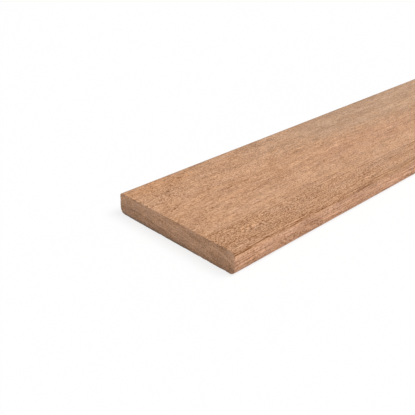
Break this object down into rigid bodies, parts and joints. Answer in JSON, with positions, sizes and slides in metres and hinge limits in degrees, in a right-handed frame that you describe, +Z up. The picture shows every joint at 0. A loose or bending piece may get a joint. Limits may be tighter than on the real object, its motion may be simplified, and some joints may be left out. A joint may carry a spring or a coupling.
{
  "type": "hardwood decking board",
  "caption": "Smooth planed hardwood decking board, rectangular section with eased long edges and square sawn ends.",
  "frame": {"origin": "middle of the underside, halfway along the board and halfway across it, on the surface it lies on", "axes": "+X along the board's length and its grain, +Y across its width, +Z up through its thickness from underside to walking face"},
  "size_m": [2.45, 0.145, 0.021],
  "materials": {
    "hardwood": "bare planed tropical hardwood, reddish tan with short dark pores and interlocked grain, matt, untreated"
  },
  "bodies": {
    "root": {"decking_board": "hardwood"}
  },
  "joints": []
}
